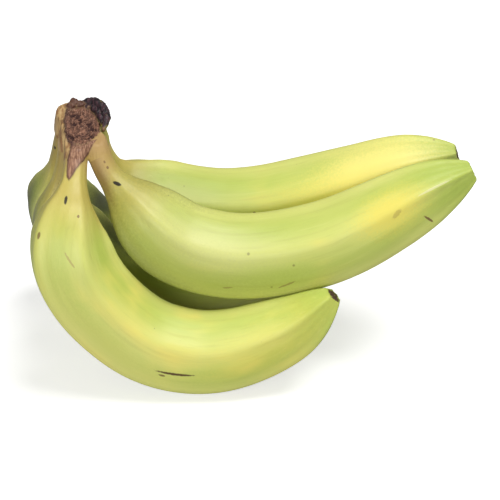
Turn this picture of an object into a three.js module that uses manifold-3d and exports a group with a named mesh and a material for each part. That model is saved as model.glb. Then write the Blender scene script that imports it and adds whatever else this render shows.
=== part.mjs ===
// A hand of five bananas, cut from the stem as one cluster and lying on a table.
// Three outer fingers lie on their bellies side by side. Two inner fingers nest on top of them.
// Every neck runs up into one crown, the pad that joined the hand to the stem.
// Millimetres, +Z up. +X runs from the crown to the blossom ends, +Y across the hand.

import * as THREE from 'three';
import { mergeVertices } from 'three/addons/utils/BufferGeometryUtils.js';
import Module from 'manifold-3d';

const wasm = await Module();
wasm.setup();

// ---- Driving dimensions ----

const BELLY_RADIUS = 17.9; // half of a finger's full thickness
const FINGER_SIDES = 20; // sides of a finger's section
const FINGER_RINGS = 28; // sections from the neck to the blossom end
const RIDGE_COUNT = 5; // a banana's section is a rounded pentagon
const RIDGE_HEIGHT = 0.035; // how far the ridges stand out, as a share of the radius
const RIDGE_TURN = 0.17; // angle of the first ridge from the inside of the bend, radians

// Thickness along a finger: [share of its length, share of the belly radius].
const FINGER_PROFILE = [
  [0.0, 0.29], [0.05, 0.27], [0.09, 0.29], [0.13, 0.42], [0.17, 0.66], [0.22, 0.87], [0.28, 0.96],
  [0.4, 1.0], [0.58, 1.0], [0.7, 0.965], [0.8, 0.88], [0.88, 0.745], [0.94, 0.56], [0.98, 0.38], [1.0, 0.26],
];

// Each finger's centreline, from inside the crown to its blossom end. neck is how much longer its
// neck is than the shortest one.
const FINGERS = [
  {
    name: 'finger_outer_front',
    neck: 0,
    spine: [
      [-70.5, 27.5, 101], [-71.5, 14, 87], [-74, 4, 75], [-74, 1, 65], [-69, 0, 50], [-57, 0, 34],
      [-42, 0, 22], [-22, 0, 16.7], [-8, 0, 18], [4, 1, 21.5], [20, 1, 29.5], [34, 1, 42.7],
    ],
  },
  {
    name: 'finger_outer_middle',
    neck: 8,
    spine: [
      [-72, 38, 102], [-75, 36, 90], [-77, 35, 80], [-79, 35, 67], [-74, 36, 48], [-60, 37, 30],
      [-41, 37, 19.5], [-18, 37, 16.7], [0, 37, 19.5], [16, 36, 27], [31, 35, 40],
    ],
  },
  {
    name: 'finger_outer_back',
    neck: 13,
    spine: [
      [-73.5, 47.5, 102], [-77, 51, 91], [-80, 55, 80], [-82, 63, 62], [-79.5, 72, 43], [-66, 75, 27],
      [-44, 75.5, 18.6], [-22, 75.5, 16.7], [0, 75, 20], [18, 73, 28], [32, 71, 39],
    ],
  },
  {
    name: 'finger_inner_front',
    neck: 0,
    spine: [
      [-64.5, 30, 101], [-58.5, 22, 88], [-52, 20, 81], [-42, 18, 69], [-31, 18, 59], [-16, 18, 53.5],
      [0, 18, 52], [22, 19, 55], [38, 20, 60], [62, 23, 72], [78, 25, 81], [91, 27, 87],
    ],
  },
  {
    name: 'finger_inner_back',
    neck: 6,
    spine: [
      [-66, 42, 101], [-62.5, 44, 88], [-58, 48, 77], [-51, 52, 69], [-41, 55, 61], [-17, 56, 54.5],
      [0, 56, 55], [14, 56, 57.5], [46, 54.6, 67.8], [65, 52.7, 76.3], [80, 51.8, 80.8], [87, 51.2, 83],
    ],
  },
];

// The crown: a pad as wide as the two rows of necks, cut off slantwise where the stem was.
const NECK_CUT_HEIGHT = 93.5; // level where the necks meet the crown
const NECK_GAP = 0.3; // clearance between a neck and the crown
const PAD_CENTRE = [-68.5, 37.5, 101];
const PAD_RADII = [10.5, 16.5, 7.5];
const CUT_SLOPE = 0.2; // the cut face rises this much for each millimetre towards the back
const CUT_HEIGHT = 103; // height of the cut face over the middle of the pad
const RIM_RADIUS = 1.6; // the dried skin that stands up round the cut face
const LIP_CENTRE = [-63, 45, 103.5]; // the thick curled lip at the back of the cut face
const LIP_RADII = [4.5, 7, 4];
const NUB_CENTRE = [-72.5, 49, 106]; // the torn stub of stem beside the lip
const NUB_RADIUS = 3.5;

const TABLE_LEVEL = 0; // the bellies are flattened here by the hand's own weight
const FOOTPRINT_CENTRE = [-2.2, 38.2]; // middle of the hand's box, which becomes the origin

const PEEL = { color: 0xc3cd62, roughness: 0.5, metalness: 0 };
const CUT_STEM = { color: 0x7a5848, roughness: 0.9, metalness: 0 };

// ---- Solids ----

// A closed geometry as a manifold solid.
function solidOf(geometry) {
  const bare = geometry.clone();
  bare.deleteAttribute('normal');
  bare.deleteAttribute('uv');
  const merged = mergeVertices(bare, 1e-4);
  const mesh = new wasm.Mesh({
    numProp: 3,
    vertProperties: new Float32Array(merged.attributes.position.array),
    triVerts: new Uint32Array(merged.index.array),
  });
  return new wasm.Manifold(mesh);
}

// A manifold solid as a named mesh.
function meshOf(solid, name, finish) {
  const { vertProperties, triVerts } = solid.getMesh();
  const geometry = new THREE.BufferGeometry();
  geometry.setAttribute('position', new THREE.BufferAttribute(new Float32Array(vertProperties), 3));
  geometry.setIndex(new THREE.BufferAttribute(new Uint32Array(triVerts), 1));
  geometry.computeVertexNormals();
  const mesh = new THREE.Mesh(geometry, new THREE.MeshStandardMaterial(finish));
  mesh.name = name;
  return mesh;
}

// A block wider than the hand, between two levels.
function slab(bottom, top) {
  const width = 400;
  const block = new THREE.BoxGeometry(width, width, top - bottom);
  block.translate(0, 0, (top + bottom) / 2);
  return solidOf(block);
}

function ellipsoid(centre, radii, widthSegments, heightSegments) {
  const ball = new THREE.SphereGeometry(1, widthSegments, heightSegments);
  ball.scale(...radii);
  ball.translate(...centre);
  return solidOf(ball);
}

// ---- Fingers ----

// A turned blank of a finger, straight along +Y, with its two ends closed on the axis.
function fingerBlank(length, neck) {
  const profileCurve = new THREE.SplineCurve(
    FINGER_PROFILE.map(([share, radius]) => {
      const along = share === 0 ? 0 : neck + share * (length - neck);
      return new THREE.Vector2(radius * BELLY_RADIUS, along);
    }),
  );
  const outline = profileCurve.getSpacedPoints(FINGER_RINGS);
  outline.unshift(new THREE.Vector2(0, 0));
  outline.push(new THREE.Vector2(0, length));
  return new THREE.LatheGeometry(outline, FINGER_SIDES);
}

// Bends a blank along its centreline and raises the ridges.
function bendAlong(blank, curve, length) {
  const position = blank.attributes.position;
  const corner = new THREE.Vector3();
  for (let i = 0; i < position.count; i++) {
    corner.fromBufferAttribute(position, i);
    const share = THREE.MathUtils.clamp(corner.y / length, 0, 1);
    const centre = curve.getPointAt(share);
    const tangent = curve.getTangentAt(share);
    const across = new THREE.Vector3(0, 1, 0).addScaledVector(tangent, -tangent.y).normalize();
    const inward = new THREE.Vector3().crossVectors(tangent, across);
    const angle = Math.atan2(corner.z, corner.x);
    const ridge = 1 + RIDGE_HEIGHT * Math.cos(RIDGE_COUNT * (angle - RIDGE_TURN));
    centre.addScaledVector(inward, corner.x * ridge);
    centre.addScaledVector(across, corner.z * ridge);
    position.setXYZ(i, centre.x, centre.y, centre.z);
  }
  return blank;
}

function wholeFinger({ neck, spine }) {
  const curve = new THREE.CatmullRomCurve3(spine.map((point) => new THREE.Vector3(...point)));
  const length = curve.getLength();
  return solidOf(bendAlong(fingerBlank(length, neck), curve, length));
}

// ---- Crown ----

// Everything above the slanted cut that took the hand off the stem.
function cutAway() {
  const height = 60;
  const block = new THREE.BoxGeometry(120, 120, height);
  block.translate(0, 0, height / 2);
  block.rotateX(Math.atan(CUT_SLOPE));
  block.translate(PAD_CENTRE[0], PAD_CENTRE[1], CUT_HEIGHT);
  return solidOf(block);
}

// The ring of dried skin round the cut face.
function cutRim() {
  const flatten = Math.sqrt(1 - ((CUT_HEIGHT - PAD_CENTRE[2]) / PAD_RADII[2]) ** 2);
  const ring = new THREE.TorusGeometry(1, RIM_RADIUS / PAD_RADII[0], 6, 20);
  ring.scale(PAD_RADII[0] * flatten - RIM_RADIUS / 2, PAD_RADII[1] * flatten - RIM_RADIUS / 2, PAD_RADII[0]);
  ring.rotateX(Math.atan(CUT_SLOPE));
  ring.translate(PAD_CENTRE[0], PAD_CENTRE[1], CUT_HEIGHT);
  return solidOf(ring);
}

function crown(fingers) {
  let solid = ellipsoid(PAD_CENTRE, PAD_RADII, 20, 12);
  fingers.forEach((finger) => {
    solid = solid.add(finger);
  });
  solid = solid.intersect(slab(NECK_CUT_HEIGHT, NECK_CUT_HEIGHT + 50));
  solid = solid.subtract(cutAway());
  solid = solid.add(cutRim());
  solid = solid.add(ellipsoid(LIP_CENTRE, LIP_RADII, 16, 10));
  solid = solid.add(ellipsoid(NUB_CENTRE, [NUB_RADIUS, NUB_RADIUS, NUB_RADIUS], 12, 8));
  return solid;
}

// ---- The hand ----

const hand = new THREE.Group();
const wholeFingers = FINGERS.map(wholeFinger);
const belowCrown = slab(TABLE_LEVEL, NECK_CUT_HEIGHT - NECK_GAP);
hand.add(meshOf(crown(wholeFingers.map((finger) => finger.intersect(slab(80, 200)))), 'crown', CUT_STEM));
FINGERS.forEach((plan, i) => hand.add(meshOf(wholeFingers[i].intersect(belowCrown), plan.name, PEEL)));
hand.position.set(-FOOTPRINT_CENTRE[0], -FOOTPRINT_CENTRE[1], 0);

export default hand;
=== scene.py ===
import math
import bmesh
import bpy
import numpy as np
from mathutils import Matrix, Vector, noise


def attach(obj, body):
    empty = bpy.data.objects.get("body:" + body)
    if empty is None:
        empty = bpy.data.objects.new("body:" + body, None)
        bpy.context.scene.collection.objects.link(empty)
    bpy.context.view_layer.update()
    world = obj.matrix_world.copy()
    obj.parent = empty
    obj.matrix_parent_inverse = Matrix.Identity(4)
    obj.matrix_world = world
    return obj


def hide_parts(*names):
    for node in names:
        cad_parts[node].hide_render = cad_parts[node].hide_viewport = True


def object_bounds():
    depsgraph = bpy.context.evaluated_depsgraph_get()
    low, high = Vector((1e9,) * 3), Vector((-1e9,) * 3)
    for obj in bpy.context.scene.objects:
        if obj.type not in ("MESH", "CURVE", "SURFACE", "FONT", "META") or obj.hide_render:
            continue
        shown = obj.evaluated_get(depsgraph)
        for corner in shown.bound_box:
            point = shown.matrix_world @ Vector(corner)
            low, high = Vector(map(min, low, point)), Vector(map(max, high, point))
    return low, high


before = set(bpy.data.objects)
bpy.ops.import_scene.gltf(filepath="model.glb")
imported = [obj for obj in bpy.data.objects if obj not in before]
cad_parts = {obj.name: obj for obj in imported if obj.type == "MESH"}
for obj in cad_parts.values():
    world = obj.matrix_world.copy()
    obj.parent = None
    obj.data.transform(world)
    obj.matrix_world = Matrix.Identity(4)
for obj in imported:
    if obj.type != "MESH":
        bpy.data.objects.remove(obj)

CAD_LOW, CAD_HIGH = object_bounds()

# ---- The five fingers ----
# Each finger is one whole unripe dessert banana: a soft five-sided belly in a smooth waxy peel,
# a slim tan neck that runs up into the crown, and a blunt end with the dry scar of the blossom.
# Three lie on their bellies on the table. Two nest on top of them.

MM = 0.001
BELLY_RADIUS = 17.75
AROUND = 96
# Where the centrelines are measured from: the table under the front finger's belly.
BELLY_POINT = Vector((CAD_LOW[0] + 97.5 * MM, CAD_LOW[1] + 17.5 * MM, CAD_LOW[2]))

# Thickness along a finger: (share of its length past the neck, share of the belly radius).
FINGER_PROFILE = [
    (0.0, 0.29), (0.05, 0.27), (0.09, 0.29), (0.13, 0.42), (0.17, 0.66), (0.22, 0.87), (0.28, 0.96),
    (0.4, 1.0), (0.58, 1.0), (0.7, 0.965), (0.8, 0.88), (0.88, 0.745), (0.94, 0.56), (0.98, 0.37),
    (1.0, 0.245),
]

# Each finger's centreline in millimetres, from inside the crown to its blossom end, and how much
# longer its neck is than the shortest one.
FINGERS = {
    "finger_outer_front": {
        "neck": 0,
        "spine": [
            (-70.5, 27.5, 101), (-71.5, 14, 87), (-74, 4, 75), (-74, 1, 65), (-69, 0, 50), (-57, 0, 34),
            (-42, 0, 22), (-22, 0, 16.7), (-8, 0, 18), (4, 1, 21.5), (20, 1, 29.5), (34, 1, 42.7),
        ],
    },
    "finger_outer_middle": {
        "neck": 8,
        "spine": [
            (-72, 38, 102), (-75, 36, 90), (-77, 35, 80), (-79, 35, 67), (-74, 36, 48), (-60, 37, 30),
            (-41, 37, 19.5), (-18, 37, 16.7), (0, 37, 19.5), (16, 36, 27), (31, 35, 40),
        ],
    },
    "finger_outer_back": {
        "neck": 13,
        "spine": [
            (-73.5, 47.5, 102), (-77, 51, 91), (-80, 55, 80), (-82, 63, 62), (-79.5, 72, 43), (-66, 75, 27),
            (-44, 75.5, 18.6), (-22, 75.5, 16.7), (0, 75, 20), (18, 73, 28), (32, 71, 39),
        ],
    },
    "finger_inner_front": {
        "neck": 0,
        "spine": [
            (-64.5, 30, 101), (-58.5, 22, 88), (-52, 20, 81), (-42, 18, 69), (-31, 18, 59), (-16, 18, 53.5),
            (0, 18, 52), (22, 19, 55), (38, 20, 60), (62, 23, 72), (78, 25, 81), (91, 27, 87),
        ],
    },
    "finger_inner_back": {
        "neck": 6,
        "spine": [
            (-66, 42, 101), (-62.5, 44, 88), (-58, 48, 77), (-51, 52, 69), (-41, 55, 61), (-17, 56, 54.5),
            (0, 56, 55), (14, 56, 57.5), (46, 54.6, 67.8), (65, 52.7, 76.3), (80, 51.8, 80.8), (87, 51.2, 83),
        ],
    },
}
RIDGE_TURN = math.radians(10)


def centreline(points):
    """A smooth curve through the points, as evenly spaced samples half a millimetre apart."""
    points = np.array(points, float)
    ends = [2 * points[0] - points[1], *points, 2 * points[-1] - points[-2]]
    samples = []
    for p0, p1, p2, p3 in zip(ends, ends[1:], ends[2:], ends[3:]):
        t1 = np.linalg.norm(p1 - p0) ** 0.5
        t2 = t1 + np.linalg.norm(p2 - p1) ** 0.5
        t3 = t2 + np.linalg.norm(p3 - p2) ** 0.5
        for t in np.linspace(t1, t2, 60, endpoint=False):
            a1 = (t1 - t) / t1 * p0 + t / t1 * p1
            a2 = (t2 - t) / (t2 - t1) * p1 + (t - t1) / (t2 - t1) * p2
            a3 = (t3 - t) / (t3 - t2) * p2 + (t - t2) / (t3 - t2) * p3
            b1 = (t2 - t) / t2 * a1 + t / t2 * a2
            b2 = (t3 - t) / (t3 - t1) * a2 + (t - t1) / (t3 - t1) * a3
            samples.append((t2 - t) / (t2 - t1) * b1 + (t - t1) / (t2 - t1) * b2)
    samples.append(points[-1])
    samples = evenly(np.array(samples))
    width = 10
    padded = np.concatenate([
        2 * samples[0] - samples[3 * width:0:-1],
        samples,
        2 * samples[-1] - samples[-2:-3 * width - 2:-1],
    ])
    reach = np.arange(-3 * width, 3 * width + 1)
    weight = np.exp(-0.5 * (reach / width) ** 2)
    weight /= weight.sum()
    eased = np.stack([np.convolve(padded[:, k], weight, "valid") for k in range(3)], 1)
    return evenly(eased)


def evenly(samples):
    step = np.linalg.norm(np.diff(samples, axis=0), axis=1)
    run = np.concatenate([[0], np.cumsum(step)])
    count = int(run[-1] * 2) + 1
    at = np.linspace(0, run[-1], count)
    return np.stack([np.interp(at, run, samples[:, k]) for k in range(3)], 1)


def smooth_curve(keys, at):
    """A monotone cubic through (place, value) keys."""
    x = np.array([key[0] for key in keys], float)
    y = np.array([key[1] for key in keys], float)
    slope = np.diff(y) / np.diff(x)
    tangent = np.zeros(len(x))
    tangent[0], tangent[-1] = slope[0], slope[-1]
    for i in range(1, len(x) - 1):
        if slope[i - 1] * slope[i] > 0:
            tangent[i] = 2 * slope[i - 1] * slope[i] / (slope[i - 1] + slope[i])
    at = np.clip(at, x[0], x[-1])
    i = np.clip(np.searchsorted(x, at, "right") - 1, 0, len(x) - 2)
    h = x[i + 1] - x[i]
    t = (at - x[i]) / h
    return (
        (2 * t**3 - 3 * t**2 + 1) * y[i] + (t**3 - 2 * t**2 + t) * h * tangent[i]
        + (-2 * t**3 + 3 * t**2) * y[i + 1] + (t**3 - t**2) * h * tangent[i + 1]
    )


def ease_between(value, low, high):
    t = np.clip((value - low) / (high - low), 0, 1)
    return t * t * (3 - 2 * t)


class Finger:
    """The centreline and section of one finger, in millimetres."""

    def __init__(self, neck, spine):
        self.line = centreline(spine)
        self.length = 0.5 * (len(self.line) - 1)
        self.neck = neck
        tangent = np.gradient(self.line, axis=0)
        tangent /= np.linalg.norm(tangent, axis=1)[:, None]
        across = np.array([0, 1, 0]) - tangent * tangent[:, 1:2]
        across /= np.linalg.norm(across, axis=1)[:, None]
        self.tangent = tangent
        self.across = across
        self.inward = np.cross(tangent, across)

    def at(self, row, along):
        place = np.arange(len(row)) * 0.5
        return np.stack([np.interp(along, place, row[:, k]) for k in range(3)], -1)

    def radius(self, along):
        share = np.clip((along - self.neck) / (self.length - self.neck), 0, 1)
        return BELLY_RADIUS * smooth_curve(FINGER_PROFILE, share)

    def ridge(self, along, angle):
        """The five soft ridges: strongest on the shoulder and towards the blossom end."""
        share = along / self.length
        height = 0.032 + 0.03 * np.exp(-((share - 0.24) / 0.09) ** 2) + 0.05 * ease_between(share, 0.72, 0.97)
        turn = 5 * (angle - RIDGE_TURN)
        return height * (np.cos(turn) + 0.32 * np.cos(2 * turn) + 0.14 * np.cos(3 * turn) - 0.3)


def finger_rings(length):
    """Distances along a finger: closer together on the neck and at the blossom end."""
    neck = np.arange(5.5, 34.0, 0.45)
    belly = np.linspace(34.0, length - 14, 118)
    tip = length - 14 + 14 * np.sin(np.linspace(0, 1, 26)[1:] * math.pi / 2)
    return np.concatenate([neck, belly, tip])


def finger_piece(name):
    finger = Finger(**FINGERS[name])
    along = finger_rings(finger.length)
    angle = np.linspace(-math.pi, math.pi, AROUND, endpoint=False) + math.pi / AROUND
    rows, columns = np.meshgrid(along, angle, indexing="ij")
    radius = finger.radius(rows) * (1 + finger.ridge(rows, columns))
    centre = finger.at(finger.line, rows)
    inward = finger.at(finger.inward, rows)
    across = finger.at(finger.across, rows)
    tangent = finger.at(finger.tangent, rows)
    inwards, sideways = radius * np.cos(columns), radius * np.sin(columns)
    place = centre + inward * inwards[..., None] + across * sideways[..., None]
    straight = np.stack([rows, inwards, sideways], -1)
    # The blossom end closes in three rings that dip and rise a little, as the dry scar does.
    scar_rings = []
    scar_straight = []
    end_radius = radius[-1]
    for shrink, rise in ((0.82, 0.35), (0.55, 0.0), (0.25, 0.3)):
        bumpy = np.array([noise.noise(Vector((a * 3, shrink * 9, len(name)))) for a in angle])
        lift = rise + 0.35 * bumpy
        scar_rings.append(
            centre[-1] + tangent[-1] * lift[:, None]
            + inward[-1] * (shrink * end_radius * np.cos(angle))[:, None]
            + across[-1] * (shrink * end_radius * np.sin(angle))[:, None]
        )
        scar_straight.append(np.stack([
            along[-1] + lift, shrink * end_radius * np.cos(angle), shrink * end_radius * np.sin(angle),
        ], -1))
    place = np.concatenate([place, scar_rings])
    straight = np.concatenate([straight, scar_straight])
    ring_count = len(place)
    top = finger.at(finger.line, along[0]) - finger.at(finger.tangent, along[0]) * 0.5
    tip = finger.at(finger.line, along[-1]) + finger.at(finger.tangent, along[-1]) * 0.5
    vertices = np.concatenate([place.reshape(-1, 3), [top, tip]])
    vertices[:, 2] = np.maximum(vertices[:, 2], 0.0)
    straight = np.concatenate([straight.reshape(-1, 3), [[along[0], 0, 0], [along[-1] + 0.5, 0, 0]]])
    faces = []
    for i in range(ring_count - 1):
        for j in range(AROUND):
            k = (j + 1) % AROUND
            faces.append((i * AROUND + j, i * AROUND + k, (i + 1) * AROUND + k, (i + 1) * AROUND + j))
    last = (ring_count - 1) * AROUND
    for j in range(AROUND):
        k = (j + 1) % AROUND
        faces.append((ring_count * AROUND, k, j))
        faces.append((ring_count * AROUND + 1, last + j, last + k))
    mesh = bpy.data.meshes.new(name + "_peel")
    mesh.from_pydata((vertices * MM + np.array(BELLY_POINT)).tolist(), [], faces)
    mesh.validate()
    mesh.shade_smooth()
    store(mesh, "straight", straight)
    store(mesh, "along", straight[:, 0])
    store(mesh, "to_end", finger.length - straight[:, 0])
    turn = 5 * (np.arctan2(straight[:, 2], straight[:, 1]) - RIDGE_TURN)
    store(mesh, "ridge", 0.5 + 0.5 * np.cos(turn))
    if name == "finger_outer_front":
        inside_scar = np.where(straight[:, 2] < 0.5, crown_scar(vertices), -9.0)
        store(mesh, "scar", ease_between(inside_scar, -0.15, 0.25))
        store(mesh, "scar_edge", np.exp(-(((inside_scar - 0.15) / 0.4) ** 2)))
    piece = bpy.data.objects.new(name + "_fruit", mesh)
    bpy.context.scene.collection.objects.link(piece)
    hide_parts(name)
    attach(piece, "root")
    return piece


def crown_scar(places):
    """How far places are inside the outline of the crown's dry scar, which ends in a tongue on the
    front neck. It is drawn square to the slope of the neck: rise is the way up, x the way across."""
    rise = 0.47 * places[:, 1] + 0.883 * places[:, 2] - 57.0
    wobble = np.array([noise.noise(Vector(p) * 0.6) for p in places]) * 0.3
    left = smooth_curve([
        (28.2, -73.0), (29, -73.6), (31.5, -73.9), (35.6, -73.7), (39.6, -73.0), (43, -72.7), (50, -73.5),
    ], rise)
    right = smooth_curve([
        (28.2, -73.0), (28.7, -72.4), (32, -70.6), (36.1, -67.6), (39.6, -65.5), (42.7, -63.8), (46.2, -61.5),
        (48.3, -60.3), (52, -59.5),
    ], rise)
    sides = np.minimum(places[:, 0] - left, right - places[:, 0]) + wobble
    return np.minimum(sides, rise - 28.2)


def store(mesh, name, values):
    """Keeps a value or a vector for every vertex under a name that materials can read."""
    values = np.asarray(values, np.float32)
    kind, field = ("FLOAT_VECTOR", "vector") if values.ndim == 2 else ("FLOAT", "value")
    mesh.attributes.new(name, kind, "POINT").data.foreach_set(field, values.ravel())


def paint(red, green, blue):
    """A colour given as 0 to 255 on screen, as the linear colour that shaders take."""
    linear = [c / 255 / 12.92 if c < 11 else ((c / 255 + 0.055) / 1.055) ** 2.4 for c in (red, green, blue)]
    return (*linear, 1.0)


def put(tree, socket, value):
    if isinstance(value, bpy.types.NodeSocket):
        tree.links.new(value, socket)
    else:
        socket.default_value = value


def calc(tree, operation, *values):
    made = tree.nodes.new("ShaderNodeMath")
    made.operation = operation
    for socket, value in zip(made.inputs, values):
        put(tree, socket, value)
    return made.outputs[0]


def vector_calc(tree, operation, *values):
    made = tree.nodes.new("ShaderNodeVectorMath")
    made.operation = operation
    for socket, value in zip(made.inputs, values):
        put(tree, socket, value)
    return made.outputs["Value" if operation in ("DOT_PRODUCT", "LENGTH") else "Vector"]


def ease(tree, value, low, high):
    """0 below low, 1 above high, with a soft step between them; low may be the larger."""
    made = tree.nodes.new("ShaderNodeMapRange")
    made.interpolation_type = "SMOOTHSTEP"
    if low > high:
        low, high, ends = high, low, (1.0, 0.0)
    else:
        ends = (0.0, 1.0)
    put(tree, made.inputs["Value"], value)
    made.inputs["From Min"].default_value = low
    made.inputs["From Max"].default_value = high
    made.inputs["To Min"].default_value = ends[0]
    made.inputs["To Max"].default_value = ends[1]
    return made.outputs["Result"]


def layer(tree, share, under, over, mode="MIX"):
    made = tree.nodes.new("ShaderNodeMix")
    made.data_type = "RGBA"
    made.blend_type = mode
    put(tree, made.inputs[0], share)
    put(tree, made.inputs[6], under)
    put(tree, made.inputs[7], over)
    return made.outputs[2]


def speckle(tree, place, scale, detail=2.0, roughness=0.5):
    made = tree.nodes.new("ShaderNodeTexNoise")
    put(tree, made.inputs["Vector"], place)
    made.inputs["Scale"].default_value = scale
    made.inputs["Detail"].default_value = detail
    made.inputs["Roughness"].default_value = roughness
    return made.outputs["Fac"]


def kept(tree, name, vector=False):
    made = tree.nodes.new("ShaderNodeAttribute")
    made.attribute_name = name
    return made.outputs["Vector" if vector else "Fac"]


def new_group(name, inputs, outputs):
    tree = bpy.data.node_groups.new(name, "ShaderNodeTree")
    for label, kind in inputs:
        tree.interface.new_socket(label, in_out="INPUT", socket_type="NodeSocket" + kind)
    for label, kind in outputs:
        tree.interface.new_socket(label, in_out="OUTPUT", socket_type="NodeSocket" + kind)
    return tree, tree.nodes.new("NodeGroupInput").outputs, tree.nodes.new("NodeGroupOutput").inputs


def use(tree, group, **values):
    made = tree.nodes.new("ShaderNodeGroup")
    made.node_tree = group
    for label, value in values.items():
        put(tree, made.inputs[label], value)
    return made.outputs


def waxy_peel_group():
    """Peel colour, roughness and fine relief from a place on the straightened finger."""
    tree, given, gives = new_group(
        "waxy_peel",
        [
            ("Straight", "Vector"), ("Along", "Float"), ("ToEnd", "Float"), ("Ridge", "Float"),
            ("Yellow", "Float"),
        ],
        [("Color", "Color"), ("Roughness", "Float"), ("Height", "Float")],
    )
    straight = given["Straight"]
    broad = speckle(tree, vector_calc(tree, "MULTIPLY", straight, (0.018, 0.05, 0.05)), 1.0, 3.0)
    patch = speckle(tree, vector_calc(tree, "MULTIPLY", straight, (0.03, 0.07, 0.07)), 1.0, 2.0)
    streak = speckle(tree, vector_calc(tree, "MULTIPLY", straight, (0.02, 0.5, 0.5)), 1.0, 4.0, 0.6)
    fibre = speckle(tree, vector_calc(tree, "MULTIPLY", straight, (0.12, 2.6, 2.6)), 1.0, 3.0, 0.6)
    # Paler along the five ridges, partly the peel's own paler edges and partly a painted highlight, and paler
    # in broad random patches.
    light = calc(tree, "MULTIPLY_ADD", given["Ridge"], 0.35, 0.05)
    light = calc(tree, "ADD", light, calc(tree, "MULTIPLY", broad, 0.75))
    color = layer(tree, ease(tree, light, 0.2, 0.95), paint(186, 202, 92), paint(222, 224, 128))
    yellow = calc(tree, "ADD", calc(tree, "MULTIPLY", patch, 1.3), given["Yellow"])
    color = layer(tree, ease(tree, yellow, 0.75, 1.25), color, paint(240, 226, 118))
    tip = ease(tree, given["ToEnd"], 30.0, 6.0)
    color = layer(tree, calc(tree, "MULTIPLY", tip, 0.75), color, paint(176, 196, 86))
    neck = ease(tree, given["Along"], 46.0, 24.0)
    color = layer(tree, calc(tree, "MULTIPLY", neck, 0.92), color, paint(204, 186, 98))
    tan = ease(tree, given["Along"], 18.0, 5.0)
    color = layer(tree, calc(tree, "MULTIPLY", tan, 0.9), color, paint(196, 160, 112))
    dull_streak = calc(tree, "MULTIPLY", ease(tree, streak, 0.5, 0.78), 0.16)
    color = layer(tree, dull_streak, color, paint(150, 146, 60))
    pale_streak = calc(tree, "MULTIPLY", ease(tree, streak, 0.45, 0.2), 0.2)
    color = layer(tree, pale_streak, color, paint(240, 236, 160))
    dark_fibre = calc(tree, "MULTIPLY", ease(tree, fibre, 0.55, 0.8), 0.1)
    color = layer(tree, dark_fibre, color, paint(120, 120, 50))
    dots = tree.nodes.new("ShaderNodeTexVoronoi")
    put(tree, dots.inputs["Vector"], straight)
    dots.inputs["Scale"].default_value = 0.11
    rarity = tree.nodes.new("ShaderNodeSeparateColor")
    put(tree, rarity.inputs[0], dots.outputs["Color"])
    size = calc(tree, "MULTIPLY", ease(tree, rarity.outputs[0], 0.35, 1.0), 0.5)
    reach = calc(tree, "SUBTRACT", calc(tree, "DIVIDE", dots.outputs["Distance"], 0.11), size)
    freckle = ease(tree, reach, 0.35, -0.1)
    color = layer(tree, calc(tree, "MULTIPLY", freckle, 0.62), color, paint(104, 92, 40))
    put(tree, gives["Color"], color)
    put(tree, gives["Roughness"], calc(tree, "MULTIPLY_ADD", streak, 0.18, 0.36))
    dimples = speckle(tree, vector_calc(tree, "MULTIPLY", straight, (0.25, 1.1, 1.1)), 1.0, 3.0)
    relief = calc(tree, "MULTIPLY", dimples, 0.6)
    relief = calc(tree, "ADD", relief, calc(tree, "MULTIPLY", fibre, 0.4))
    put(tree, gives["Height"], relief)
    return tree


WAXY_PEEL = waxy_peel_group()


def mark_or_painted_light_group():
    """A soft-edged patch: 1 inside an oval on the straightened finger, with a ragged edge. It lays real marks
    and also painted shade and painted highlights.
    """
    tree, given, gives = new_group(
        "mark_or_painted_light",
        [
            ("Straight", "Vector"), ("Centre", "Vector"), ("Long", "Vector"), ("Short", "Vector"),
            ("Ragged", "Float"), ("Soft", "Float"),
        ],
        [("Mask", "Float")],
    )
    away = vector_calc(tree, "SUBTRACT", given["Straight"], given["Centre"])
    u = vector_calc(tree, "DOT_PRODUCT", away, given["Long"])
    v = vector_calc(tree, "DOT_PRODUCT", away, given["Short"])
    reach = calc(tree, "SQRT", calc(tree, "ADD", calc(tree, "MULTIPLY", u, u), calc(tree, "MULTIPLY", v, v)))
    rough = calc(tree, "SUBTRACT", speckle(tree, given["Straight"], 1.1, 3.0), 0.5)
    reach = calc(tree, "MULTIPLY_ADD", rough, given["Ragged"], reach)
    within = calc(tree, "DIVIDE", calc(tree, "SUBTRACT", 1.0, reach), given["Soft"])
    put(tree, gives["Mask"], ease(tree, within, -0.5, 0.5))
    return tree


MARK_OR_PAINTED_LIGHT = mark_or_painted_light_group()


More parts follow.
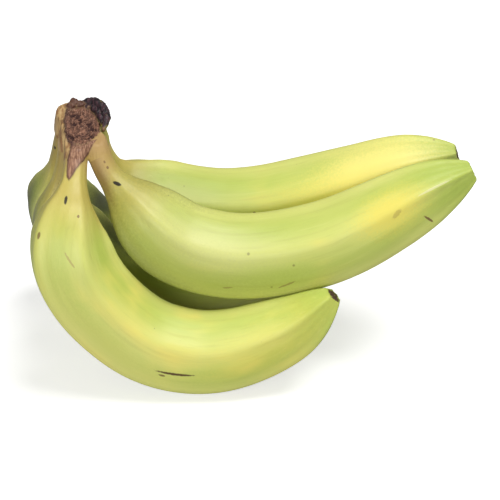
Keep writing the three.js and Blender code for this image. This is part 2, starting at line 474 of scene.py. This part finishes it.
def peel_material(name, yellow, shift, marks_and_painted_light):
    """Marks, painted shade and painted highlights on the peel, each as (along mm, degrees round from the
    inside of the bend, half length, half width, degrees of turn from the finger's line, colour, strength,
    raggedness)."""
    material = bpy.data.materials.new(name + "_peel")
    material.use_nodes = True
    tree = material.node_tree
    shader = tree.nodes["Principled BSDF"]
    straight = kept(tree, "straight", vector=True)
    moved = vector_calc(tree, "ADD", straight, (shift, shift * 0.7, 0.0))
    peel = use(
        tree, WAXY_PEEL, Straight=moved, Along=kept(tree, "along"), ToEnd=kept(tree, "to_end"),
        Ridge=kept(tree, "ridge"), Yellow=yellow,
    )
    color = peel["Color"]
    finger = Finger(**FINGERS[name])
    # Wide soft patches go under the small marks.
    widest_first = sorted(marks_and_painted_light, key=lambda mark_or_painted_light: -mark_or_painted_light[3])
    for along, degrees, half_long, half_wide, turn, tone, strength, ragged in widest_first:
        angle = math.radians(degrees)
        radius = float(finger.radius(np.array(along)))
        centre = (along, radius * math.cos(angle), radius * math.sin(angle))
        round_way = np.array([0, -math.sin(angle), math.cos(angle)])
        tilt = math.radians(turn)
        long_way = (np.array([1, 0, 0]) * math.cos(tilt) + round_way * math.sin(tilt)) / half_long
        short_way = (-np.array([1, 0, 0]) * math.sin(tilt) + round_way * math.cos(tilt)) / half_wide
        mark = use(
            tree, MARK_OR_PAINTED_LIGHT, Straight=straight, Centre=centre, Long=tuple(long_way), Short=tuple(short_way),
            Ragged=ragged, Soft=1.5 if half_wide > 2 else 0.4,
        )
        color = layer(tree, calc(tree, "MULTIPLY", mark["Mask"], strength), color, tone)
    if name == "finger_outer_front":
        long_fibres = speckle(tree, vector_calc(tree, "MULTIPLY", straight, (0.3, 2.0, 2.0)), 1.0, 4.0)
        dried = layer(tree, ease(tree, long_fibres, 0.32, 0.68),
                      paint(122, 84, 65), paint(182, 140, 112))
        color = layer(tree, kept(tree, "scar"), color, dried)
        color = layer(tree, calc(tree, "MULTIPLY", kept(tree, "scar_edge"), 0.85), color, paint(82, 52, 46))
    ragged_edge = calc(tree, "MULTIPLY", speckle(tree, straight, 0.9, 3.0), 1.6)
    edge = calc(tree, "ADD", kept(tree, "to_end"), ragged_edge)
    off_middle = vector_calc(tree, "LENGTH", vector_calc(tree, "MULTIPLY", straight, (0.0, 1.0, 1.0)))
    ragged_middle = calc(tree, "MULTIPLY_ADD", speckle(tree, straight, 0.7, 3.0), 1.6, off_middle)
    scar = calc(tree, "MULTIPLY", ease(tree, edge, 1.15, 0.75), ease(tree, ragged_middle, 4.4, 3.6))
    dry = layer(tree, speckle(tree, straight, 1.6, 4.0), paint(38, 24, 18), paint(112, 84, 66))
    color = layer(tree, scar, color, dry)
    put(tree, shader.inputs["Base Color"], color)
    dry_scar = calc(tree, "MULTIPLY", scar, 0.35)
    put(tree, shader.inputs["Roughness"], calc(tree, "ADD", peel["Roughness"], dry_scar))
    bump = tree.nodes.new("ShaderNodeBump")
    bump.inputs["Strength"].default_value = 0.22
    bump.inputs["Distance"].default_value = 0.0004
    put(tree, bump.inputs["Height"], peel["Height"])
    put(tree, shader.inputs["Normal"], bump.outputs["Normal"])
    shader.inputs["Specular IOR Level"].default_value = 0.42
    shader.inputs["Subsurface Weight"].default_value = 0.06
    shader.inputs["Subsurface Radius"].default_value = (0.004, 0.003, 0.001)
    return material


# Each finger: how yellow it is, where its streaks start, and its marks, painted shade and painted highlights.
BLACK = paint(30, 24, 16)
BROWN = paint(122, 90, 56)
# Pale cream, used as a painted highlight.
PAINTED_HIGHLIGHT = paint(240, 234, 190)
GOLD = paint(246, 226, 98)
FINISHES = {
    "finger_outer_front": (0.18, 0.0, [
        (28, -102, 1.7, 0.6, 10, BLACK, 0.95, 0.5),
        (113, -97, 7.0, 0.6, 4, paint(84, 56, 34), 0.95, 0.9),
        (108, -104, 1.4, 0.5, 0, paint(104, 72, 40), 0.8, 0.8),
        (46, -82, 3.0, 0.4, 30, paint(176, 150, 90), 0.6, 1.0),
        (39, -130, 0.9, 0.6, 0, BROWN, 0.8, 0.6),
        (33, -70, 0.5, 0.5, 0, BROWN, 0.8, 0.4),
        # Paler yellow on the front of the belly: partly the peel's yellower tone, partly a painted highlight.
        (85, -112, 28.0, 10.0, 0, paint(240, 230, 140), 0.4, 0.8),
        (150, -80, 22.0, 8.0, 0, GOLD, 0.3, 0.8),
    ]),
    "finger_outer_middle": (-0.02, 310.0, [
        (14, -120, 9.0, 2.5, 0, BROWN, 0.45, 1.0),
        # Dark green on the outer side of the shoulder's bend, between the outer fingers: painted shade.
        (58, 178, 20.0, 6.5, 0, paint(50, 56, 36), 0.9, 0.4),
    ]),
    "finger_outer_back": (0.0, 620.0, [
        (16, -135, 0.8, 0.7, 0, BLACK, 0.95, 0.3),
        (16, -130, 10.0, 3.0, 0, BROWN, 0.45, 1.0),
        # Dark green on the outer side of the shoulder's bend, between the outer fingers: painted shade.
        (62, 178, 20.0, 8.0, 0, paint(50, 56, 38), 0.9, 0.4),
    ]),
    "finger_inner_front": (0.02, 930.0, [
        (21.5, -66, 1.6, 0.75, 30, BLACK, 0.97, 0.3),
        (9.0, -60, 0.5, 0.4, 0, BROWN, 0.8, 0.3),
        (12.0, -62, 0.6, 0.4, 0, BROWN, 0.8, 0.3),
        (14.5, -60, 0.6, 0.5, 0, BROWN, 0.9, 0.3),
        (17.0, -118, 8.0, 2.6, 0, BROWN, 0.6, 0.6),
        # Brown on the left of the neck below the crown: painted shadow from the crown and the outer front
        # neck.
        (10.0, -95, 9.0, 6.0, 0, paint(184, 148, 92), 0.7, 0.5),
        # Dark green along the lower edge beside the slit over the front finger: painted shade.
        (48, -146, 20.0, 7.0, 0, paint(96, 106, 52), 0.7, 0.6),
        (102, -112, 3.5, 0.5, 18, BROWN, 0.55, 1.0),
        (80, -112, 1.8, 0.5, 12, BROWN, 0.5, 1.0),
        (163, -112, 2.6, 0.5, -70, BROWN, 0.9, 0.8),
        (151, -62, 13.0, 7.0, 0, GOLD, 0.7, 0.8),
        (153, -70, 2.5, 1.0, 20, BROWN, 0.3, 1.0),
        # A pale line on the crease near the blossom end: painted highlight.
        (171, -62, 7.0, 0.5, 0, PAINTED_HIGHLIGHT, 0.5, 0.3),
        # A faint pale band along the upper front face: painted highlight.
        (70, -50, 30.0, 8.0, 0, PAINTED_HIGHLIGHT, 0.2, 0.7),
        # Darker green along the lower front side: painted shade.
        (55, -118, 45.0, 12.0, 0, paint(142, 154, 60), 0.5, 0.7),
    ]),
    "finger_inner_back": (0.1, 1240.0, [
        (24, -50, 0.7, 0.5, 0, BLACK, 0.9, 0.3),
        (45, -58, 0.7, 0.5, 0, BROWN, 0.8, 0.5),
        (95, -70, 0.6, 0.5, 0, BROWN, 0.8, 0.5),
        (152, -55, 22.0, 12.0, 0, paint(255, 240, 140), 0.85, 0.8),
        (128, -72, 26.0, 8.0, 0, GOLD, 0.45, 0.8),
        (60, -78, 34.0, 5.0, 0, paint(160, 178, 72), 0.4, 0.7),
    ]),
}

for finger_name, (yellow, shift, marks_and_painted_light) in FINISHES.items():
    fruit = finger_piece(finger_name)
    fruit.data.materials.append(peel_material(finger_name, yellow, shift, marks_and_painted_light))

# ---- The crown ----
# The crown is the pad where the five necks grew together on the stem. The knife left a dished
# face of dry brown fibres. Its skin dried to a dark rim, a thick black lip curled over at the
# back, a torn stub of stem beside it, and a brown scar runs down onto the front neck.

CUT_MIDDLE = np.array([-68.0, 37.0, 103.0])
CUT_SLOPE = 0.2
# The knife's face: (degrees round from +X, millimetres out to its rim).
CUT_OUTLINE = [
    (-180, 8.0), (-150, 8.6), (-134, 10.2), (-114, 13.0), (-103, 14.2), (-90, 14.0), (-76, 12.3),
    (-58, 9.8), (-29, 8.6), (-5, 9.3), (15, 9.8), (40, 10.8), (57, 12.2), (76, 14.4), (98, 15.6),
    (119, 15.0), (134, 11.8), (148, 9.8), (180, 8.0),
]
# How much each neck swells in the crown, at these millimetres from its end.
SWELL_PLACES = (0, 4, 8, 10.5, 12.5)
NECK_SWELLS = {
    "finger_outer_back": (2.4, 2.0, 1.3, 0.3, -0.9),
    "finger_outer_middle": (0.8, 0.7, 0.5, 0.2, -0.9),
    "finger_outer_front": (0.1, 0.25, 0.2, -0.1, -0.9),
    "finger_inner_back": (0.0, 0.3, 0.4, 0.1, -0.9),
    "finger_inner_front": (-0.2, 0.2, 0.2, -0.1, -0.9),
}
PAD_LUMPS = [
    ((-68.5, 37.5, 99.5), (7.0, 13.5, 7.0)),
    ((-61.8, 48.8, 100.8), (3.4, 4.4, 5.6)),
    ((-68.5, 50.0, 101.0), (5.5, 4.2, 5.5)),
]
# The lip's two folds, as (x, y, z, radius).
LIP_FOLDS = [
    [
        (-70.6, 51.6, 105.6, 1.0), (-67.5, 52.0, 106.9, 1.6), (-64.4, 50.9, 107.3, 2.0),
        (-61.8, 48.2, 106.7, 2.1), (-60.0, 44.4, 105.6, 2.0), (-59.1, 40.6, 104.4, 1.7),
        (-59.4, 37.4, 103.0, 1.2), (-60.4, 35.0, 101.6, 0.7),
    ],
    [
        (-67.6, 49.4, 105.6, 0.9), (-65.2, 48.2, 105.9, 1.3), (-62.9, 45.4, 105.3, 1.5),
        (-61.6, 42.0, 104.4, 1.4), (-61.0, 39.0, 103.6, 0.9),
    ],
]
STUB_LUMPS = [
    ((-74.2, 49.6, 105.4), (2.4, 2.4, 2.2)),
    ((-73.0, 50.0, 107.0), (1.7, 1.5, 2.2)),
    ((-70.9, 50.2, 106.2), (2.4, 1.7, 1.5)),
]


def add_ball(mesh_data, centre, radii):
    """Adds a closed ellipsoid to a bmesh."""
    made = bmesh.ops.create_icosphere(mesh_data, subdivisions=4, radius=1.0)
    for vertex in made["verts"]:
        vertex.co = Vector([c + r * v for c, r, v in zip(centre, radii, vertex.co)])


def add_tube(mesh_data, rings):
    """Adds a closed tube to a bmesh through rings of (centre, radius)."""
    sides = 24
    points = [Vector(centre) for centre, _ in rings]
    loops = []
    for i, (centre, radius) in enumerate(rings):
        ahead = points[min(i + 1, len(points) - 1)] - points[max(i - 1, 0)]
        turn = ahead.to_track_quat("Z", "Y")
        loops.append([
            mesh_data.verts.new(
                points[i] + turn @ Vector((radius * math.cos(a), radius * math.sin(a), 0))
            )
            for a in np.linspace(0, 2 * math.pi, sides, endpoint=False)
        ])
    for low, high in zip(loops, loops[1:]):
        for j in range(sides):
            k = (j + 1) % sides
            mesh_data.faces.new((low[j], low[k], high[k], high[j]))
    mesh_data.faces.new(list(reversed(loops[0])))
    mesh_data.faces.new(loops[-1])


def remeshed(mesh_data, name, voxel):
    """One closed skin round everything in a bmesh, as a new object."""
    mesh = bpy.data.meshes.new(name)
    mesh_data.to_mesh(mesh)
    mesh_data.free()
    piece = bpy.data.objects.new(name, mesh)
    bpy.context.scene.collection.objects.link(piece)
    skin = piece.modifiers.new("skin", "REMESH")
    skin.mode = "VOXEL"
    skin.voxel_size = voxel
    solid = bpy.data.meshes.new_from_object(piece.evaluated_get(bpy.context.evaluated_depsgraph_get()))
    piece.modifiers.clear()
    piece.data = solid
    bpy.data.meshes.remove(mesh)
    solid.name = name
    return piece


def points_and_edges(mesh):
    """A mesh's points and its pairs of joined points, as arrays."""
    points = np.empty(len(mesh.vertices) * 3, np.float32)
    mesh.vertices.foreach_get("co", points)
    edges = np.empty(len(mesh.edges) * 2, np.int32)
    mesh.edges.foreach_get("vertices", edges)
    return points.reshape(-1, 3).astype(float), edges.reshape(-1, 2)


def normals_of(mesh):
    normals = np.empty(len(mesh.vertices) * 3, np.float32)
    mesh.vertices.foreach_get("normal", normals)
    return normals.reshape(-1, 3).astype(float)


def relaxed(points, edges, rounds, share=0.5):
    """Moves every point part of the way to its neighbours' average."""
    count = np.bincount(edges.ravel(), minlength=len(points))[:, None]
    for _ in range(rounds):
        total = np.zeros_like(points)
        np.add.at(total, edges[:, 0], points[edges[:, 1]])
        np.add.at(total, edges[:, 1], points[edges[:, 0]])
        points = points + share * (total / count - points)
    return points


def rough(places, scale, octaves=3, seed=0.0):
    """Fractal noise at each place, round zero. The seed moves it, so that layers differ."""
    start = Vector((seed, 0, 0))
    return np.array([noise.fractal(Vector(p) * scale + start, 0.6, 2.1, octaves) for p in places])


def blended(first, second, soft):
    """Joins two distances from surfaces, with a fillet where the surfaces meet."""
    near = np.maximum(soft - np.abs(first - second), 0) / soft
    return np.minimum(first, second) - 0.25 * soft * near * near


def from_neck(finger, swells, places):
    """How far places are outside one swollen neck, in millimetres."""
    above = finger.line[0] - finger.tangent[0] * np.arange(5.0, 0, -0.5)[:, None]
    line = np.concatenate([above, finger.line[:26]])
    nearest = np.argmin(((places[:, None, :] - line[None]) ** 2).sum(2), 1)
    away = places - line[nearest]
    row = np.maximum(nearest - 10, 0)
    along = row * 0.5
    angle = np.arctan2((away * finger.across[row]).sum(1), (away * finger.inward[row]).sum(1))
    swollen = np.interp(along, SWELL_PLACES, swells)
    skin = finger.radius(along) * (1 + finger.ridge(along, angle)) + swollen
    return np.linalg.norm(away, axis=1) - skin


def from_ball(centre, radii, places):
    """About how far places are outside an ellipsoid."""
    away = (places - centre) / radii
    reach = np.linalg.norm(away, axis=1)
    return reach * (reach - 1) / (np.linalg.norm(away / radii, axis=1) + 1e-6)


def from_tube(rings, places):
    """How far places are outside a tube through (x, y, z, radius)."""
    rings = np.array(rings)
    closest = np.full(len(places), 1e3)
    for low, high in zip(rings, rings[1:]):
        step = high[:3] - low[:3]
        t = np.clip(((places - low[:3]) @ step) / (step @ step), 0, 1)
        gap = np.linalg.norm(places - low[:3] - t[:, None] * step, axis=1)
        closest = np.minimum(closest, gap - low[3] - t * (high[3] - low[3]))
    return closest


def above_cut(places):
    """How far places are above the knife's slanted plane."""
    return places[:, 2] - CUT_MIDDLE[2] - CUT_SLOPE * (places[:, 1] - CUT_MIDDLE[1])


def from_crown(places):
    """How far places are outside the crown: necks and pad grown together, cut flat, then lip and stub."""
    field = from_ball(*PAD_LUMPS[0], places)
    for name, swells in NECK_SWELLS.items():
        field = blended(field, from_neck(Finger(**FINGERS[name]), swells, places), 1.0)
    for centre, radii in PAD_LUMPS[1:]:
        field = blended(field, from_ball(centre, radii, places), 2.0)
    field = -blended(-field, -above_cut(places), 0.9)
    for fold in LIP_FOLDS:
        field = blended(field, from_tube(fold, places), 0.6)
    for centre, radii in STUB_LUMPS:
        field = blended(field, from_ball(centre, radii, places), 1.0)
    return field


# A rough skin round all of it comes first, and is then drawn onto the smooth shape.
crown_mesh = bmesh.new()
for centre, radii in PAD_LUMPS + STUB_LUMPS:
    add_ball(crown_mesh, centre, radii)
for name, swells in NECK_SWELLS.items():
    finger = Finger(**FINGERS[name])
    rings = []
    for along, swell in zip(SWELL_PLACES, swells):
        rings.append((finger.at(finger.line, np.array(along)), float(finger.radius(np.array(along))) + swell))
    add_tube(crown_mesh, rings)
for fold in LIP_FOLDS:
    add_tube(crown_mesh, [((x, y, z), radius) for x, y, z, radius in fold])
crown = remeshed(crown_mesh, "crown_pad", 0.27)
mesh = crown.data
place, edges = points_and_edges(mesh)
for _ in range(4):
    place = relaxed(place, edges, 3)
    here = from_crown(place)
    slope = np.stack([from_crown(place + step) - here for step in np.eye(3) * 0.05], 1) / 0.05
    slope /= np.maximum((slope**2).sum(1), 0.2)[:, None]
    place = place - np.clip(here, -1.5, 1.5)[:, None] * slope

# Where each part of the finish lies.
height = above_cut(place)
u, v = place[:, 0] - CUT_MIDDLE[0], place[:, 1] - CUT_MIDDLE[1]
bearing = np.degrees(np.arctan2(v, u))
wander = rough(place, 0.35, 3, 4.0)
outward = np.hypot(u, v) / smooth_curve(CUT_OUTLINE, bearing) + 0.06 * wander
fold_gap = np.minimum(from_tube(LIP_FOLDS[0], place), from_tube(LIP_FOLDS[1], place))
lip = ease_between(fold_gap + 0.3 * wander, 0.5, 0.1) * ease_between(height, -0.4, 0.3)
stub_gap = np.min([from_ball(centre, radii, place) for centre, radii in STUB_LUMPS], 0)
stub = ease_between(stub_gap, 0.5, 0.1) * ease_between(height, 0.2, 0.8)
raised = np.maximum(lip, stub)
on_top = ease_between(height, -2.4, -0.9)
face = on_top * ease_between(outward, 1.0, 0.9) * (1 - raised)
open_side = ease_between(bearing, -112, -96) * ease_between(bearing, -2, -20)
rim = on_top * np.exp(-(((outward - 0.98) / 0.07) ** 2)) * (1 - raised) * (1 - 0.8 * open_side)

# The face dries into a dish with torn fibres across it. The rim and the lip wrinkle.
turned = place @ np.array([[0.62, -0.78, 0], [0.78, 0.62, 0], [0, 0, 1.0]])
fibres = np.abs(rough(turned * (0.5, 1.25, 0.6), 0.55, 4, 9.0))
pits = ease_between(rough(place, 0.24, 3, 21.0), 0.05, 0.5)
dish = 1.3 * ease_between(outward, 1.0, 0.35)
place[:, 2] -= face * (dish + 0.8 * pits - 1.0 * fibres)
place[:, 2] += rim * (0.35 + 0.7 * rough(place, 0.5, 3, 6.0))
outside = normals_of(mesh)
creases = rough(turned * (0.4, 1.0, 0.7), 0.42, 3, 12.0) * raised + 0.16 * rough(place, 0.5, 3, 30.0)
place += creases[:, None] * outside * (0.35 + 0.4 * stub)[:, None]
inside_scar = crown_scar(place)
front = ease_between(place[:, 1], 38, 33) * ease_between(outside[:, 1], 0.35, 0.05) * (1 - face)
scar = ease_between(inside_scar, -0.15, 0.25) * front
scar_edge = np.exp(-(((inside_scar - 0.15) / 0.4) ** 2)) * front * ease_between(place[:, 0], -62, -66)
wrinkles = rough(place * (2.2, 0.5, 0.5), 0.6, 3, 17.0)
place += ((scar * 0.15 * wrinkles + 0.2 * scar_edge)[:, None]) * outside
mesh.vertices.foreach_set("co", (place * MM + np.array(BELLY_POINT)).ravel())
mesh.validate()
mesh.shade_smooth()
store(mesh, "straight", place[:, [2, 0, 1]] * (-1.0, 1.0, 0.35))
store(mesh, "along", np.clip((101.0 - place[:, 2]) * 1.2 + 6 * ease_between(place[:, 0], -73, -67), 0, 18))
store(mesh, "to_end", np.full(len(place), 150.0))
store(mesh, "ridge", np.full(len(place), 0.5))
store(mesh, "cut_face", face)
store(mesh, "hollow", face * np.clip(0.35 + 0.5 * pits - 0.9 * fibres + 0.25 * dish, 0, 1))
store(mesh, "dark_rim", rim)
store(mesh, "black_lip", raised)
store(mesh, "stub", stub)
store(mesh, "scar", scar)
store(mesh, "scar_edge", scar_edge)
store(mesh, "weathered", ease_between(place[:, 0], -70, -74))
store(mesh, "fresh", ease_between(place[:, 0], -66, -60) * ease_between(place[:, 1], 28, 44))
# Brown on the front left of the inner front neck where it leaves the crown: painted shadow from the crown and
# the outer front neck.
store(mesh, "painted_neck_shadow", ease_between(place[:, 0], -68, -65) * ease_between(place[:, 1], 33, 29))
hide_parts("crown")
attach(crown, "root")


def crown_material():
    material = bpy.data.materials.new("dried_crown")
    material.use_nodes = True
    tree = material.node_tree
    shader = tree.nodes["Principled BSDF"]
    straight = kept(tree, "straight", vector=True)
    peel = use(
        tree, WAXY_PEEL, Straight=straight, Along=kept(tree, "along"), ToEnd=kept(tree, "to_end"),
        Ridge=kept(tree, "ridge"), Yellow=0.0,
    )
    color = peel["Color"]
    streaks = speckle(tree, vector_calc(tree, "MULTIPLY", straight, (0.12, 0.8, 0.8)), 1.0, 4.0)
    fine = speckle(tree, straight, 2.8, 4.0, 0.7)
    color = layer(tree, kept(tree, "fresh"), color, paint(196, 190, 96))
    # Brown on the left of the inner front neck: painted shadow.
    color = layer(tree, calc(tree, "MULTIPLY", kept(tree, "painted_neck_shadow"), 0.6), color, paint(184, 148, 92))
    side = kept(tree, "weathered")
    brown = calc(tree, "MULTIPLY", ease(tree, streaks, 0.46, 0.62), side)
    color = layer(tree, calc(tree, "MULTIPLY", brown, 0.75), color, paint(140, 92, 58))
    pale = calc(tree, "MULTIPLY", ease(tree, streaks, 0.44, 0.3), side)
    color = layer(tree, calc(tree, "MULTIPLY", pale, 0.5), color, paint(214, 180, 140))
    long_fibres = speckle(tree, vector_calc(tree, "MULTIPLY", straight, (0.3, 2.0, 2.0)), 1.0, 4.0)
    scar_tone = layer(tree, ease(tree, long_fibres, 0.32, 0.68), paint(122, 84, 65), paint(182, 140, 112))
    color = layer(tree, kept(tree, "scar"), color, scar_tone)
    color = layer(tree, calc(tree, "MULTIPLY", kept(tree, "scar_edge"), 0.85), color, paint(74, 44, 38))
    cross = speckle(tree, vector_calc(tree, "MULTIPLY", straight, (0.5, 1.3, 0.8)), 1.0, 5.0, 0.65)
    face_tone = layer(tree, ease(tree, cross, 0.3, 0.7), paint(80, 52, 43), paint(158, 112, 88))
    light_flecks = calc(tree, "MULTIPLY", ease(tree, fine, 0.54, 0.66), 0.7)
    face_tone = layer(tree, light_flecks, face_tone, paint(204, 164, 138))
    dark_flecks = calc(tree, "MULTIPLY", ease(tree, fine, 0.46, 0.36), 0.7)
    face_tone = layer(tree, dark_flecks, face_tone, paint(52, 30, 27))
    face_tone = layer(tree, ease(tree, kept(tree, "hollow"), 0.3, 0.75), face_tone, paint(62, 36, 32))
    color = layer(tree, kept(tree, "cut_face"), color, face_tone)
    dark = layer(tree, ease(tree, fine, 0.4, 0.62), paint(40, 22, 24), paint(96, 60, 54))
    color = layer(tree, kept(tree, "dark_rim"), color, dark)
    lip_tone = layer(tree, ease(tree, cross, 0.4, 0.66), paint(26, 22, 26), paint(88, 60, 66))
    stub_tone = layer(tree, cross, paint(44, 24, 20), paint(132, 92, 74))
    lip_tone = layer(tree, kept(tree, "stub"), lip_tone, stub_tone)
    color = layer(tree, kept(tree, "black_lip"), color, lip_tone)
    put(tree, shader.inputs["Base Color"], color)
    dryness = calc(tree, "MAXIMUM", kept(tree, "cut_face"), kept(tree, "scar"))
    dull = calc(tree, "MULTIPLY_ADD", dryness, 0.4, peel["Roughness"])
    shine = calc(tree, "MULTIPLY", kept(tree, "black_lip"), -0.08)
    put(tree, shader.inputs["Roughness"], calc(tree, "ADD", dull, shine))
    bump = tree.nodes.new("ShaderNodeBump")
    bump.inputs["Strength"].default_value = 0.6
    bump.inputs["Distance"].default_value = 0.0006
    put(tree, bump.inputs["Height"], calc(tree, "ADD", cross, calc(tree, "MULTIPLY", fine, 0.5)))
    put(tree, shader.inputs["Normal"], bump.outputs["Normal"])
    shader.inputs["Specular IOR Level"].default_value = 0.4
    return material


crown.data.materials.append(crown_material())

# ---- The floor ----
# A plain white studio floor, which the hand lies on.

floor_mesh = bpy.data.meshes.new("floor")
floor_mesh.from_pydata([(-4, -4, 0), (4, -4, 0), (4, 6, 0), (-4, 6, 0)], [], [(0, 1, 2, 3)])
floor = bpy.data.objects.new("floor", floor_mesh)
bpy.context.scene.collection.objects.link(floor)
floor_material = bpy.data.materials.new("white_floor")
floor_material.use_nodes = True
floor_tree = floor_material.node_tree
floor_shader = floor_tree.nodes["Principled BSDF"]
# The camera sees it lit up white, as under a studio's floor lamps. The fruit gets less light back.
seen = floor_tree.nodes.new("ShaderNodeLightPath").outputs["Is Camera Ray"]
floor_tone = layer(floor_tree, seen, paint(186, 186, 182), paint(240, 240, 240))
put(floor_tree, floor_shader.inputs["Base Color"], floor_tone)
put(floor_tree, floor_shader.inputs["Emission Strength"], calc(floor_tree, "MULTIPLY", seen, 0.6))
floor_shader.inputs["Emission Color"].default_value = (1, 1, 1, 1)
floor_shader.inputs["Roughness"].default_value = 0.9
floor_shader.inputs["Specular IOR Level"].default_value = 0.1
floor.data.materials.append(floor_material)

# ---- Light and camera ----
# A wide soft light above to the right, a weaker one from the front left, and a pale room.


def soft_light(name, place, aim, size, power):
    light = bpy.data.lights.new(name, "AREA")
    light.shape = "DISK"
    light.size = size
    light.energy = power
    lamp = bpy.data.objects.new(name, light)
    bpy.context.scene.collection.objects.link(lamp)
    lamp.location = place
    lamp.rotation_euler = (Vector(aim) - Vector(place)).to_track_quat("-Z", "Y").to_euler()
    return lamp


soft_light("key", (0.3, -0.12, 1.1), (0, 0, 0.03), 0.75, 10.4)
soft_light("front_fill", (-0.4, -1.1, 0.3), (0, 0, 0.04), 0.8, 7.6)
world = bpy.data.worlds.new("pale_room")
world.use_nodes = True
world.node_tree.nodes["Background"].inputs["Color"].default_value = (1, 1, 1, 1)
world.node_tree.nodes["Background"].inputs["Strength"].default_value = 0.15
bpy.context.scene.world = world
bpy.context.scene.view_settings.view_transform = "Standard"

LOOK_DOWN = math.radians(28)
CAMERA_DISTANCE = 0.9
aim = BELLY_POINT + Vector((0, 30, 48.6)) * MM
camera_data = bpy.data.cameras.new("camera")
camera_data.sensor_width = 36
camera_data.lens = 154.3
camera = bpy.data.objects.new("camera", camera_data)
bpy.context.scene.collection.objects.link(camera)
camera.location = aim + CAMERA_DISTANCE * Vector((0, -math.cos(LOOK_DOWN), math.sin(LOOK_DOWN)))
camera.rotation_euler = (math.radians(90) - LOOK_DOWN, 0, 0)
bpy.context.scene.camera = camera
